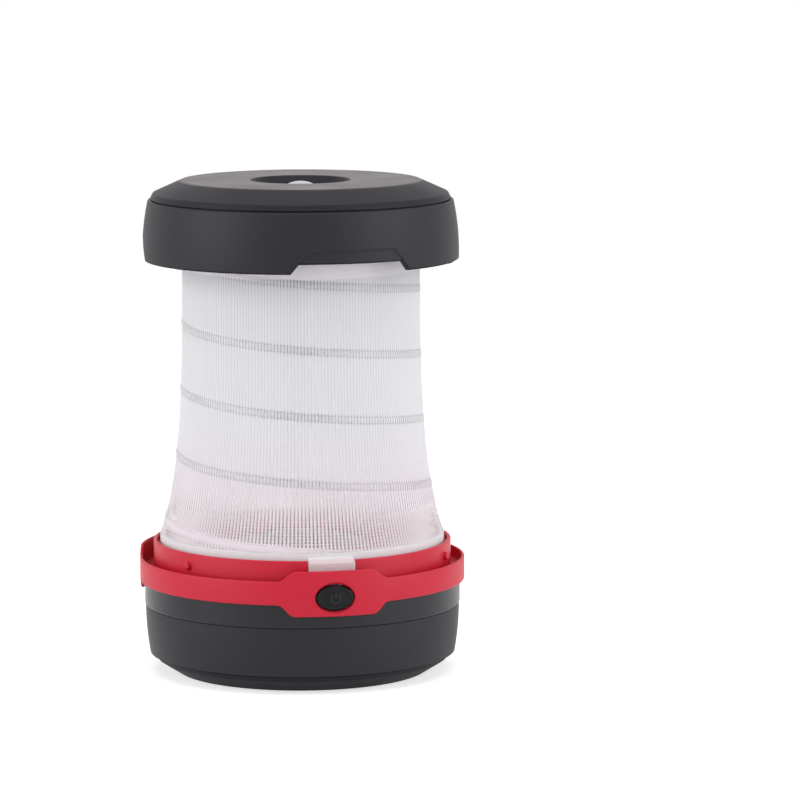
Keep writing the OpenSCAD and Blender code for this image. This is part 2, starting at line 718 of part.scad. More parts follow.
module retainer_screws() {
    color(steel) around(3, retainer_screw_r, 90) translate([0, 0, hoop_z + 2.3]) difference() {
        union() {
            translate([0, 0, -0.8]) cylinder(r = 1.5, h = 0.8);
            cylinder(r = 0.9, h = 3);
        }
        translate([0, 0, -0.9]) for (a = [0, 90]) rotate([0, 0, a])
            translate([-0.9, -0.2, 0]) cube([1.8, 0.4, 0.5]);
    }
}

// torch lens: a dome on a flange held under the cap's well
module torch_lens() {
    rise = lens_top - lens_seat;
    dome_r = (lens_r * lens_r + rise * rise) / (2 * rise);
    edge = asin(lens_r / dome_r);
    color([0.95, 0.95, 0.96, 0.8]) turned(concat(
        [[0, total_h - 9.1], [9.2, total_h - 9.1], [9.2, total_h - 7.6],
            [lens_r, total_h - 7.6], [lens_r, lens_seat]],
        [for (p = arc(dome_r, 90 - edge + 3, 90, 10)) [max(0, p[0]), p[1] + lens_top - dome_r]]));
}

// funnel that gathers the middle LED's light, screwed up against the lens
module torch_reflector() {
    top = total_h - 9.1;
    color([0.85, 0.86, 0.88]) difference() {
        union() {
            turned([[4.2, top - 3.6], [5.2, top - 3.6], [8.6, top - 1.4],
                [16, top - 1.4], [16, top], [7.6, top]]);
            around(3, reflector_screw_r, 30) translate([0, 0, top - 0.5]) cylinder(r = 2.2, h = 1.5);
        }
        around(3, reflector_screw_r, 30) translate([0, 0, top - 3]) cylinder(r = 1.1, h = 6);
    }
}

module reflector_screws() {
    color(steel) around(3, reflector_screw_r, 30) translate([0, 0, total_h - 10.5]) screw(1.9, 0.9, 6);
}

base_shell();
battery_holder();
contact_plates();
contact_springs();
battery_1();
battery_2();
battery_3();
holder_screws();
power_lead();
return_lead();
switch_board();
tact_switch();
led_board();
board_screws();
lantern_leds();
torch_led();
led_cover();
reflector_deck();
hem_ring();
inner_collar();
red_ring();
coil_spring();
diffuser_sleeve();
bottom_cover();
handle_pins();
handle();
button();
switch_plunger();
upper_hoop();
cap_shell();
cap_top();
hoop_retainer();
retainer_screws();
torch_lens();
torch_reflector();
reflector_screws();
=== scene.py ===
"""Looks of the collapsible camping lantern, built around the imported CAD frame.

Z is up and the push button is towards -Y. Sizes of pieces are millimetres, which at() and spot()
turn into Blender's metres; camera, lights and floor are placed in metres. Angles round the lantern
are degrees from -Y towards +X.
"""
import math

import bmesh
import bpy
from mathutils import Euler, Matrix, Vector


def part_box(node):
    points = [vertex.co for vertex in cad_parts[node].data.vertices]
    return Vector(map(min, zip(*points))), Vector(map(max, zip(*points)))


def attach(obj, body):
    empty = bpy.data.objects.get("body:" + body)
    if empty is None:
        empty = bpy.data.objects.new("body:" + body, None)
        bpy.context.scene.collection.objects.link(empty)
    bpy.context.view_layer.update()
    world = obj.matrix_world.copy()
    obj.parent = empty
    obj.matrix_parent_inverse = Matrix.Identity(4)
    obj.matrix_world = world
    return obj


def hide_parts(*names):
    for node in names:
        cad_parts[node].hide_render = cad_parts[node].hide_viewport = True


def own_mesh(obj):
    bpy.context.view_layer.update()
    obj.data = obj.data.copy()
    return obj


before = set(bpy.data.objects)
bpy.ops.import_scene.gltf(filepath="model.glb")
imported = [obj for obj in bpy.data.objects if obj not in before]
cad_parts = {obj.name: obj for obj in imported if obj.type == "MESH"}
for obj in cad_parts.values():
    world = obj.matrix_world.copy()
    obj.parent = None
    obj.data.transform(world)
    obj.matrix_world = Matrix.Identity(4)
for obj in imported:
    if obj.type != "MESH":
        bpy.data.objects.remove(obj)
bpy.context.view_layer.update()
MM = 0.001
TURN = 2 * math.pi


# ---- sizes ----------------------------------------------------------------

TOTAL_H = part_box("cap_top")[1].z / MM
THIRDS = (0, 120, 240)    # angles of the ring's panels, and of the cap's notches before its turn

# red ring: a band, and panels that reach above and below it; panel widths are half angles
RING_R, PANEL_IN_R, WALL_IN_R = 45.0, 44.2, 43.25
SHOULDER_Z, BAND_TOP = 25.1, 31.6
CHANNEL_Z, FLANGE_T = 28.3, 0.7
PANEL_Z = (22.0, 34.4)
PANEL_HALF, PANEL_TOP_HALF, PANEL_BOTTOM_HALF = 18.9, 14.4, 15.1
PANEL_REACH = 1.1         # angle over which the corners of a panel are rounded
LIP_Z = 18.7              # styling lip round the base

# red collar with its bayonet lugs
COLLAR_R, COLLAR_IN_R, COLLAR_LIP_R, COLLAR_Z = 41.2, 39.4, 40.2, (24.0, 36.6)
COLLAR_LEDGE = 1.6        # depth of the step behind the lip
COLLAR_GAP = 9.25         # half angle of the gap in front
LUG_Z, LUG_R, LUG_OUT_R, LUG_ANGLES = 33.2, 1.15, 42.3, (60, 180, 300)
LUG_ROOM = 0.3            # space round a lug in its bayonet groove

# sleeve, its lower hem and the coil in it
HEM_R, HEM_TOP = 39.3, 38.5
HEM_TAB_HALF = 9.0        # half angle of the tab in the collar's gap
HOOP_Z = TOTAL_H - 8.8    # top of the sleeve
WAIST_R = 32.4
FLARE_LEN = 20            # height over which the foot's flare dies away
MOUTH_FLARE, MOUTH_LEN = 0.8, 13
CLOTH_T = 0.4
COIL_WIRE_R = 0.55
COIL_PITCH = 18.0
COIL_FRONT_Z = 38.0       # height of one turn in front
COLLAPSE = 83.8           # travel of the cap when the lantern closes

# cap
SKIRT_R, SKIRT_IN_R, SKIRT_BOW = 43.55, 41.6, 1.6
CAP_RIM = TOTAL_H - 21.9
CAP_SEAM = TOTAL_H - 5.1
BULGE_Z = TOTAL_H - 19.5  # height at which the skirt is widest
CAP_TURN = 8.0
CAP_FLANGE_Z = (TOTAL_H - 10.6, TOTAL_H - 9.1)

# button
BUTTON_Z, BUTTON_W, BUTTON_H = 27.1, 10.0, 6.6
BUTTON_BACK, BUTTON_FACE = 44.05, 45.7

# handle
BAIL_AZ = math.radians(240)           # direction of the pivots' axis, from +X towards +Y
BAIL_R, BAIL_W, BAIL_T = 29.2, 7.0, 3.6   # radius of the bow's outside, width, thickness
BAIL_AXIS_Z = 0.8 + BAIL_T / 2


def sleeve_r(z):
    """Radius of the sleeve's outside at height z."""
    return (WAIST_R + (HEM_R - WAIST_R) * math.exp(-(z - HEM_TOP) / FLARE_LEN)
            + MOUTH_FLARE * math.exp(-(HOOP_Z - z) / MOUTH_LEN))


def skirt_r(z):
    """Radius of the cap's bowed side at height z."""
    return SKIRT_R - SKIRT_BOW * ((z - BULGE_Z) / (CAP_SEAM - BULGE_Z)) ** 2


def spot(x, y, z):
    """Point in metres."""
    return Vector((x * MM, y * MM, z * MM))


def at(r, angle, z):
    """Point in metres at radius r, angle degrees from the front, height z."""
    a = math.radians(angle)
    return spot(r * math.sin(a), -r * math.cos(a), z)


def ramp(x, x0, x1, y0, y1):
    """y goes from y0 to y1 as x goes from x0 to x1, and stays level outside."""
    t = min(1.0, max(0.0, (x - x0) / (x1 - x0)))
    return y0 + (y1 - y0) * t


def soft_ramp(x, x0, x1, y0, y1, reach):
    """ramp with its two corners rounded, from reach before each to reach beyond it."""
    n = 4
    return sum(ramp(x + reach * k / n, x0, x1, y0, y1) for k in range(-n, n + 1)) / (2 * n + 1)


def smooth(x, x0, x1):
    """0 up to x0, 1 from x1 on, and an S curve between."""
    t = ramp(x, x0, x1, 0.0, 1.0)
    return t * t * (3 - 2 * t)


def near(angle, centre):
    """Signed difference of two angles, from -180 to 180."""
    return (angle - centre + 180) % 360 - 180


# ---- materials ------------------------------------------------------------

class Shader:
    """A material under construction: adds nodes, sets their values and links them."""

    def __init__(self, name):
        self.material = bpy.data.materials.new(name)
        self.material.use_nodes = True
        self.tree = self.material.node_tree
        self.body = self.tree.nodes["Principled BSDF"]
        self.output = self.tree.nodes["Material Output"]

    def add(self, kind, **values):
        node = self.tree.nodes.new("ShaderNode" + kind)
        for key, value in values.items():
            if hasattr(node, key):
                setattr(node, key, value)
            else:
                self.put(node.inputs[key.replace("_", " ")], value)
        return node

    def put(self, socket, value):
        if isinstance(value, bpy.types.NodeSocket):
            self.tree.links.new(value, socket)
        else:
            socket.default_value = value

    def set(self, **values):
        """Sets sockets of the Principled shader, by name with _ for a space."""
        for key, value in values.items():
            self.put(self.body.inputs[key.replace("_", " ")], value)

    def point(self):
        """Place on the piece, in metres of the lantern's frame."""
        return self.add("TexCoord").outputs["Object"]

    def xyz(self):
        """The point's three coordinates."""
        node = self.add("SeparateXYZ", Vector=self.point())
        return [node.outputs[i] for i in range(3)]

    def angle(self, x, y):
        """Angle round the lantern, in radians from the front."""
        return self.math("ARCTAN2", x, self.math("MULTIPLY", y, -1.0))

    def math(self, operation, a, b=0.0):
        node = self.add("Math", operation=operation)
        self.put(node.inputs[0], a)
        self.put(node.inputs[1], b)
        return node.outputs[0]

    def noise(self, scale, detail=3.0, roughness=0.55):
        node = self.add("TexNoise", Scale=scale, Detail=detail, Roughness=roughness)
        self.put(node.inputs["Vector"], self.point())
        return node.outputs[0]

    def spread(self, value, low, high, out_low, out_high):
        """out_low to out_high as value goes from low to high, and level outside."""
        node = self.add("MapRange")
        node.clamp = True
        for socket, v in zip(node.inputs, (value, low, high, out_low, out_high)):
            self.put(socket, v)
        return node.outputs[0]

    def between(self, share, a, b):
        """a where share is 0, b where it is 1."""
        return self.spread(share, 0.0, 1.0, a, b)

    def vary(self, noise, a, b, start=0.3):
        """a to b over the middle of a noise's range."""
        return self.spread(noise, start, 0.7, a, b)

    def mix(self, factor, a, b):
        node = self.add("Mix", data_type="RGBA")
        self.put(node.inputs[0], factor)
        self.put(node.inputs[6], a)
        self.put(node.inputs[7], b)
        return node.outputs[2]

    def mix_shaders(self, factor, a, b):
        node = self.add("MixShader")
        for socket, v in zip(node.inputs, (factor, a, b)):
            self.put(socket, v)
        return node.outputs[0]

    def bump(self, height, distance):
        """Normal for a height, whose distance is in metres."""
        node = self.add("Bump", Strength=1.0, Distance=distance)
        self.put(node.inputs["Height"], height)
        return node.outputs[0]


def rgb(r, g, b):
    return (r, g, b, 1.0)


def shade(colour, share):
    """The colour made darker or lighter."""
    return tuple(c * share for c in colour[:3]) + (1.0,)


def moulded_plastic(name, colour, dust, roughness, grain=0.00004, gloss=0.28, polish=None):
    """Moulded plastic: fine spark-eroded grain, faint flow marks, dust caught in the grain.
    polish is (height, roughness, colour) where the mould was smoother, above that height; the
    colour there is the plastic's own, or a painted reflection."""
    s = Shader(name)
    flow = s.noise(38.0, 4.0, 0.6)
    speck = s.noise(1500.0, 2.0, 0.5)
    cloudy = s.vary(flow, 0.0, 0.55)
    tone = s.mix(cloudy, colour, dust)
    fleck = s.mix(s.spread(speck, 0.62, 0.8, 0.0, 0.35), tone, dust)
    surface = s.vary(flow, roughness - 0.04, roughness + 0.05)
    if polish:
        edge, smoother, tone_or_reflection = polish
        above = s.spread(s.xyz()[2], (edge - 0.1) * MM, (edge + 0.1) * MM, 0.0, 1.0)
        surface = s.math("SUBTRACT", surface, s.math("MULTIPLY", above, roughness - smoother))
        fleck = s.mix(above, fleck, s.mix(cloudy, tone_or_reflection, dust))
    s.set(Base_Color=fleck, Roughness=surface, Specular_IOR_Level=gloss,
          Normal=s.bump(s.noise(2600.0, 3.0, 0.6), grain))
    return s.material


def metal(name, colour, roughness, brushed=600.0):
    """Metal with faint streaks; brushed is their scale."""
    s = Shader(name)
    streak = s.noise(brushed, 3.0, 0.6)
    s.set(Base_Color=s.mix(s.vary(streak, 0.0, 0.5, 0.35), colour, shade(colour, 0.72)),
          Roughness=s.vary(streak, roughness - 0.07, roughness + 0.08), Metallic=1.0,
          Normal=s.bump(streak, 0.00001))
    return s.material


def rubber(name, colour):
    s = Shader(name)
    grain = s.noise(3200.0, 3.0, 0.6)
    cloud = s.noise(300.0, 3.0, 0.6)
    s.set(Base_Color=s.mix(s.vary(cloud, 0.0, 0.5, 0.35), colour, shade(colour, 1.9)),
          Roughness=s.vary(grain, 0.5, 0.62), Specular_IOR_Level=0.2,
          Normal=s.bump(grain, 0.00004))
    return s.material


def milky(name, colour, roughness, transmission):
    """Frosted or milky clear plastic."""
    s = Shader(name)
    cloud = s.noise(220.0, 3.0, 0.6)
    s.set(Base_Color=s.mix(s.vary(cloud, 0.0, 0.4), colour, shade(colour, 0.93)),
          Roughness=s.vary(cloud, roughness - 0.03, roughness + 0.04),
          Transmission_Weight=transmission, IOR=1.49, Normal=s.bump(s.noise(1800.0), 0.00001))
    return s.material


def circuit_board(name):
    """Green solder mask over faint copper tracks."""
    s = Shader(name)
    tracks = s.add("TexBrick", Vector=s.point(), Scale=420.0, Mortar_Size=0.03,
                   Color1=rgb(0.015, 0.12, 0.05), Color2=rgb(0.02, 0.17, 0.07),
                   Mortar=rgb(0.05, 0.25, 0.1))
    s.set(Base_Color=tracks.outputs[0], Normal=s.bump(tracks.outputs[1], 0.00003),
          Roughness=s.vary(s.noise(500.0), 0.25, 0.36))
    return s.material


def phosphor(name):
    """Yellow phosphor of a white LED."""
    s = Shader(name)
    cloud = s.noise(1400.0)
    s.set(Base_Color=s.mix(s.vary(cloud, 0.0, 1.0, 0.35), rgb(0.9, 0.74, 0.16), rgb(0.8, 0.6, 0.1)),
          Roughness=s.vary(cloud, 0.3, 0.42), Normal=s.bump(cloud, 0.00002))
    return s.material


def cell_sleeve(name):
    """Plain shrink sleeve of a battery: grey in the middle, copper towards both ends."""
    s = Shader(name)
    along = s.math("ABSOLUTE", s.xyz()[0])
    band = s.spread(along, 10.5 * MM, 10.7 * MM, 0.0, 1.0)
    cloud = s.noise(400.0)
    base = s.mix(band, rgb(0.11, 0.12, 0.14), rgb(0.5, 0.36, 0.16))
    s.set(Base_Color=s.mix(s.vary(cloud, 0.0, 0.25), base, rgb(0.2, 0.2, 0.22)),
          Roughness=s.vary(cloud, 0.24, 0.34), Metallic=0.45, Normal=s.bump(cloud, 0.00001))
    return s.material


# the weave, whose gaps are where the sine wave across the upright yarns is low: the wave's values
# at which a gap begins and is clear, and the share of the light that a clear gap lets through
YARNS = 228               # upright yarns round the sleeve
WEFT = 0.85               # spacing of the yarns across
GAP_PLAIN, GAP_WIRE, GAP_FLARE = (-0.65, -1.0), (-0.35, -0.75), (0.4, -0.55)
CLEAR_PLAIN, CLEAR_WIRE, CLEAR_FLARE, CLEAR_INSIDE = 0.26, 0.5, 0.97, 0.96
CHANNEL_HALF = 0.85       # half the height of the sewn channel that holds the coil
CHANNEL_EDGE = (1.1, 1.4)     # from the coil, where the channel's wide gaps end
FLARE_Z = (43.0, 56.0)    # the flare's wide gaps close between these heights
RED_GLOW_Z = (42.0, 72.0)     # painted red glow of the red parts on the cloth dies away between these heights
FOOT_Z = (42.5, 44.5)     # top of the folded cloth at the lower hem
FOLD_Z = 111.9            # lower edge of the folded cloth under the cap, which is painted lighter above it


def fabric(name, soak, inside):
    """White open weave. Light soaks through the yarns, and the holes between them show what is
    behind. The sleeve's outer and inner faces have a material each and lie a little apart, so the
    holes close when it is seen aslant. It is stretched open over the wire and in the flare."""
    s = Shader(name)
    x, y, z = s.xyz()
    angle = s.angle(x, y)
    height = s.math("DIVIDE", z, MM)
    wobble = s.between(s.noise(60.0, 2.0), -0.5, 0.5)
    warp = s.math("SINE", s.math("ADD", s.math("MULTIPLY", angle, float(YARNS)), wobble))
    weft = s.math("SINE", s.math("ADD", s.math("MULTIPLY", height, TURN / WEFT), wobble))

    # distance from the nearest turn of the coil
    turns = s.math("ADD", s.math("DIVIDE", s.math("SUBTRACT", height, COIL_FRONT_Z), COIL_PITCH),
                   s.math("DIVIDE", angle, TURN))
    off = s.math("MULTIPLY", s.math("SUBTRACT", turns, s.math("ROUND", turns)), COIL_PITCH)
    off = s.math("ABSOLUTE", off)
    seam = s.math("ABSOLUTE", s.math("SUBTRACT", off, CHANNEL_HALF))
    # mask of the painted shade in the two seams of the coil's channel
    seam_shade = s.spread(seam, 0.0, 0.2, 1.0, 0.0)
    on_wire = s.spread(off, *CHANNEL_EDGE, 1.0, 0.0)
    flare = s.spread(height, *FLARE_Z, 1.0, 0.0)
    foot = s.spread(height, *FOOT_Z, 1.0, 0.0)
    fold_painted_light = s.spread(height, FOLD_Z - 0.3, FOLD_Z, 0.0, 1.0)

    cloth = s.mix(s.vary(s.noise(45.0, 2.0), 0.0, 0.6, 0.35), rgb(0.895, 0.895, 0.91),
                  rgb(0.89, 0.885, 0.895))
    # painted shade along the channel's seams, darker in their grooves
    if not inside:
        cloth = s.mix(s.math("MULTIPLY", seam_shade, 0.3), cloth, rgb(0.4, 0.4, 0.45))
    # painted red bounce light from the red parts, pinker towards the bottom
    cloth = s.mix(s.spread(height, *RED_GLOW_Z, 0.3, 0.0), cloth, rgb(0.9, 0.77, 0.81))
    # the folded edge under the cap is painted lighter and pinker: painted light over the cap's
    # shade
    cloth = s.mix(fold_painted_light, cloth, rgb(0.97, 0.95, 0.965))
    # the inner face is painted lighter than the outer one, standing in for the light it misses in
    # the sleeve's shade
    if inside:
        cloth = s.mix(0.35, cloth, rgb(0.985, 0.985, 0.985))
    weave = s.math("ADD", s.math("MULTIPLY", warp, 0.5), s.math("MULTIPLY", weft, 0.3))
    weave = s.math("ADD", weave, s.math("MULTIPLY", s.noise(900.0), 0.5))
    normal = s.bump(weave, 0.000012)
    yarn = s.mix_shaders(soak,
                         s.add("BsdfDiffuse", Color=cloth, Roughness=0.9, Normal=normal).outputs[0],
                         s.add("BsdfTranslucent", Color=cloth, Normal=normal).outputs[0])

    stretched = s.math("MAXIMUM", on_wire, flare)
    begin, clear = (s.between(stretched, plain, s.between(flare, wire, flared))
                    for plain, wire, flared in zip(GAP_PLAIN, GAP_WIRE, GAP_FLARE))
    gap = s.spread(warp, begin, clear, 0.0, 1.0)
    if inside:
        # the yarns across lie on the inner face, but for the channel
        bars = s.math("MAXIMUM", s.spread(weft, -0.8, 0.0, 0.35, 1.0), on_wire)
        gap = s.math("MULTIPLY", gap, bars)
    # folded cloth covers the lowest turn of the wire, and the edge under the cap
    folded = s.math("MAXIMUM", s.math("MULTIPLY", on_wire, foot), fold_painted_light)
    gap = s.math("MULTIPLY", gap, s.math("SUBTRACT", 1.0, folded))
    if inside:
        share = CLEAR_INSIDE
    else:
        share = s.between(flare, s.between(on_wire, CLEAR_PLAIN, CLEAR_WIRE), CLEAR_FLARE)
    open_cloth = s.mix_shaders(s.math("MULTIPLY", gap, share), yarn,
                               s.add("BsdfTransparent").outputs[0])
    s.put(s.output.inputs["Surface"], open_cloth)
    return s.material


def hem_cloth(name):
    """White moulded ring under a folded edge of the sleeve's cloth."""
    s = Shader(name)
    x, y, z = s.xyz()
    warp = s.math("SINE", s.math("MULTIPLY", s.angle(x, y), float(YARNS)))
    weft = s.math("SINE", s.math("MULTIPLY", z, TURN / (WEFT * MM)))
    weave = s.math("MULTIPLY", warp, weft)
    cloth = s.mix(s.spread(weave, -1.0, 1.0, 0.0, 0.5), rgb(0.78, 0.77, 0.79), rgb(0.7, 0.69, 0.71))
    # the tab, which lies outside the hem, is painted a red glow for the collar's light through it
    out = s.math("SQRT", s.math("ADD", s.math("MULTIPLY", x, x), s.math("MULTIPLY", y, y)))
    glow = s.spread(out, (HEM_R + 0.1) * MM, (HEM_R + 0.9) * MM, 0.0, 0.65)
    s.set(Base_Color=s.mix(glow, cloth, rgb(0.72, 0.5, 0.54)),
          Roughness=s.vary(s.noise(500.0), 0.5, 0.62), Normal=s.bump(weave, 0.00003))
    return s.material


SLATE, SLATE_DUST = rgb(0.0115, 0.011, 0.0155), rgb(0.0165, 0.016, 0.0205)
CASE = moulded_plastic("case_plastic", SLATE, SLATE_DUST, 0.5)
CASE_BASE = moulded_plastic("case_base", SLATE, SLATE_DUST, 0.5, polish=(LIP_Z, 0.31, SLATE))
# the cap's flat top is painted a lighter mauve: a painted reflection of the surroundings at a
# grazing angle
CASE_TOP = moulded_plastic("case_top", SLATE, SLATE_DUST, 0.5, gloss=0.18,
                           polish=(TOTAL_H - 0.25, 0.33, rgb(0.04, 0.018, 0.023)))
CASE_COVER = moulded_plastic("case_cover", SLATE, SLATE_DUST, 0.62, gloss=0.12)
RED = moulded_plastic("red_plastic", rgb(0.59, 0.01, 0.035), rgb(0.61, 0.025, 0.05), 0.44,
                      grain=0.00002)
RED_HANDLE = moulded_plastic("red_handle", rgb(0.62, 0.007, 0.014), rgb(0.65, 0.017, 0.026), 0.34,
                             grain=0.000015)
WHITE = moulded_plastic("white_plastic", rgb(0.74, 0.73, 0.75), rgb(0.7, 0.69, 0.71), 0.42,
                        grain=0.00002)
HEM = hem_cloth("hem_cloth")
STEEL = metal("steel", rgb(0.58, 0.59, 0.61), 0.32)
WIRE = metal("spring_wire", rgb(0.07, 0.07, 0.085), 0.4, 1500.0)
PLATING = metal("bright_plating", rgb(0.88, 0.89, 0.9), 0.12, 300.0)
BUTTON_RUBBER = rubber("button_rubber", rgb(0.003, 0.0035, 0.0038))
MARK_RUBBER = rubber("mark_rubber", rgb(0.035, 0.034, 0.032))
RED_WIRE = rubber("red_wire", rgb(0.5, 0.015, 0.02))
BLACK_WIRE = rubber("black_wire", rgb(0.015, 0.015, 0.016))
MILKY = milky("milky_plastic", rgb(0.9, 0.9, 0.9), 0.45, 0.35)
LENS = milky("lens_plastic", rgb(0.72, 0.71, 0.73), 0.08, 0.25)
BOARD = circuit_board("board")
PHOSPHOR = phosphor("phosphor")
CELL = cell_sleeve("cell_sleeve")
CLOTH = fabric("sleeve_cloth", 0.6, False)
CLOTH_INSIDE = fabric("sleeve_inside", 0.06, True)

# the CAD nodes that stay, which no piece replaces
CAD_MATERIALS = {
    CASE: ["battery_holder", "hoop_retainer", "switch_plunger"],
    CASE_BASE: ["base_shell"],
    CASE_COVER: ["bottom_cover"],
    STEEL: ["contact_plates", "holder_screws", "tact_switch", "board_screws", "handle_pins",
            "retainer_screws", "reflector_screws"],
    WIRE: ["contact_springs"],
    CELL: ["battery_1", "battery_2", "battery_3"],
    RED_WIRE: ["power_lead"],
    BLACK_WIRE: ["return_lead"],
    BOARD: ["switch_board", "led_board"],
    PHOSPHOR: ["lantern_leds", "torch_led"],
    MILKY: ["led_cover"],
    RED: ["reflector_deck"],
    WHITE: ["upper_hoop"],
    PLATING: ["torch_reflector"],
}


def dress_cad_nodes():
    for material, names in CAD_MATERIALS.items():
        for name in names:
            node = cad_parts[name]
            node.data.materials.clear()
            node.data.materials.append(material)


# ---- mesh helpers ---------------------------------------------------------

def add_object(name, data):
    thing = bpy.data.objects.new(name, data)
    bpy.context.scene.collection.objects.link(thing)
    return thing


def add_piece(name, mesh, body, material, replaced=()):
    """Piece that rides on a body, and stands in for the CAD nodes it replaces."""
    if material:
        mesh.materials.append(material)
    piece = add_object(name, mesh)
    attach(piece, body)
    if replaced:
        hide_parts(*replaced)
    return piece


def smooth_by_angle(mesh, degrees=32):
    """Smooth shading, but for edges sharper than degrees."""
    for polygon in mesh.polygons:
        polygon.use_smooth = True
    mesh.set_sharp_from_angle(angle=math.radians(degrees))


def skin(name, rings, degrees=32, closed=False, caps=True):
    """Mesh through rings that have the same number of points each. The run of rings is closed on
    itself, or has a cap at each end, or ends where it began and is welded there."""
    count, size = len(rings), len(rings[0])
    assert all(len(ring) == size for ring in rings)
    faces = []
    for i in range(count if closed else count - 1):
        row, next_row = i * size, ((i + 1) % count) * size
        for j in range(size):
            k = (j + 1) % size
            faces.append((row + j, row + k, next_row + k, next_row + j))
    if caps:
        faces.append(tuple(range(size - 1, -1, -1)))
        faces.append(tuple((count - 1) * size + j for j in range(size)))
    mesh = bpy.data.meshes.new(name)
    mesh.from_pydata([tuple(p) for ring in rings for p in ring], [], faces)
    mesh.validate()
    work = bmesh.new()
    work.from_mesh(mesh)
    bmesh.ops.remove_doubles(work, verts=work.verts, dist=1e-7)
    bmesh.ops.recalc_face_normals(work, faces=work.faces)
    work.to_mesh(mesh)
    work.free()
    smooth_by_angle(mesh, degrees)
    return mesh


def fillet(corners, steps):
    """Outline through corners (x, y, radius), each rounded by its radius. A corner that is all but
    straight, or coincides with its neighbour, stays one point."""
    outline = []
    n = len(corners)
    for i, (x, y, radius) in enumerate(corners):
        p = Vector((x, y))
        before, after = Vector(corners[i - 1][:2]) - p, Vector(corners[(i + 1) % n][:2]) - p
        reach = min(before.length, after.length) * 0.48
        opening = before.angle(after) if before.length and after.length else math.pi
        if radius <= 0 or opening > math.radians(176) or reach < 1e-6:
            outline.append(tuple(p))
            continue
        back = min(radius / math.tan(opening / 2), reach)
        start, end = p + before.normalized() * back, p + after.normalized() * back
        for k in range(steps + 1):
            t = k / steps
            outline.append(tuple(start * (1 - t) ** 2 + p * 2 * t * (1 - t) + end * t ** 2))
    return outline


def swept(name, section, angles, closed=True, degrees=32):
    """Solid whose section(angle) -> [(radius, height)] is carried round the axis."""
    rings = [[at(r, a, z) for r, z in section(a)] for a in angles]
    return skin(name, rings, degrees, closed, caps=not closed)


def turned(name, outline, segments=288, degrees=32):
    """Solid of revolution of a closed outline of (radius, height)."""
    angles = [360 * i / segments for i in range(segments)]
    return swept(name, lambda _angle: outline, angles, degrees=degrees)


def degrees_with(marks):
    """Every whole degree round the lantern, and the marks."""
    return sorted({float(i) for i in range(360)} | {round(mark % 360, 4) for mark in marks})


def circle(sides):
    """Angles of the corners of a polygon, in radians."""
    return [TURN * i / sides for i in range(sides)]


def join(name, meshes):
    """One mesh from several, each left as its own closed solid."""
    work = bmesh.new()
    for mesh in meshes:
        work.from_mesh(mesh)
    merged = bpy.data.meshes.new(name)
    work.to_mesh(merged)
    work.free()
    smooth_by_angle(merged)
    return merged


def cut(mesh, cutter_mesh):
    """mesh minus cutter_mesh, as a new mesh."""
    solid, tool = add_object("solid", mesh), add_object("tool", cutter_mesh)
    modifier = solid.modifiers.new("cut", "BOOLEAN")
    modifier.operation = "DIFFERENCE"
    modifier.solver = "EXACT"
    modifier.object = tool
    bpy.context.view_layer.update()
    evaluated = solid.evaluated_get(bpy.context.evaluated_depsgraph_get())
    done = bpy.data.meshes.new_from_object(evaluated)
    bpy.data.objects.remove(solid)
    bpy.data.objects.remove(tool)
    work = bmesh.new()
    work.from_mesh(done)
    bmesh.ops.dissolve_degenerate(work, dist=1e-6, edges=work.edges)
    work.to_mesh(done)
    work.free()
    smooth_by_angle(done)
    return done


# ---- sleeve and coil ------------------------------------------------------

# the cloth over one turn of the coil: (height from the wire, how far it stands out)
OVER_WIRE = [(-9, -0.1), (-5.5, -0.09), (-2.2, -0.03), (-1.25, 0), (-0.88, -0.1), (-0.5, 0.12),
             (0, 0.18), (0.5, 0.12), (0.88, -0.1), (1.25, 0), (2.2, -0.03), (5.5, -0.09)]
TAUT_LOW, TAUT_HIGH = 1.5, 4      # the hems hold the cloth plain over these heights


def sleeve_mesh():
    """Cloth drawn over the coil: its rows of points climb with the wire, which pushes it out, and
    it is slack between the turns."""
    columns, inner_rows = 228, 22
    turns = math.ceil((HOOP_Z - COIL_FRONT_Z) / COIL_PITCH) + 2
    inner = [HOOP_Z + (HEM_TOP - HOOP_Z) * j / inner_rows for j in range(inner_rows + 1)]
    rings = []
    for i in range(columns + 1):
        angle = 360 * i / columns
        ring = []
        for turn in range(turns):
            for off, out in OVER_WIRE:
                z = COIL_FRONT_Z + (turn - angle / 360) * COIL_PITCH + off
                z = min(HOOP_Z, max(HEM_TOP, z))
                free = (smooth(z, HEM_TOP, HEM_TOP + TAUT_LOW)
                        * (1 - smooth(z, HOOP_Z - TAUT_HIGH, HOOP_Z)))
                ring.append(at(sleeve_r(z) + out * free, angle, z))
        rings.append(ring + [at(sleeve_r(z) - CLOTH_T, angle, z) for z in inner])
    mesh = skin("sleeve", rings, 60, caps=False)
    mesh.materials.append(CLOTH)
    mesh.materials.append(CLOTH_INSIDE)
    for polygon in mesh.polygons:
        out = Vector((polygon.center.x, polygon.center.y, 0))
        polygon.material_index = 1 if polygon.normal.dot(out) < 0 else 0
    return mesh


def coil_mesh():
    """Round wire that climbs inside the sleeve, from hem to hoop."""
    per_turn, play = 72, 0.04
    low, high = HEM_TOP + COIL_WIRE_R, HOOP_Z - COIL_WIRE_R
    count = int((high - low) / COIL_PITCH * per_turn)
    rings = []
    for i in range(count + 1):
        z = low + (high - low) * i / count
        angle = -360 * (z - COIL_FRONT_Z) / COIL_PITCH
        r = sleeve_r(z) - CLOTH_T - COIL_WIRE_R - play
        rings.append([at(r + COIL_WIRE_R * math.cos(b), angle, z + COIL_WIRE_R * math.sin(b))
                      for b in circle(12)])
    return skin("coil", rings, 60)


# ---- base -----------------------------------------------------------------

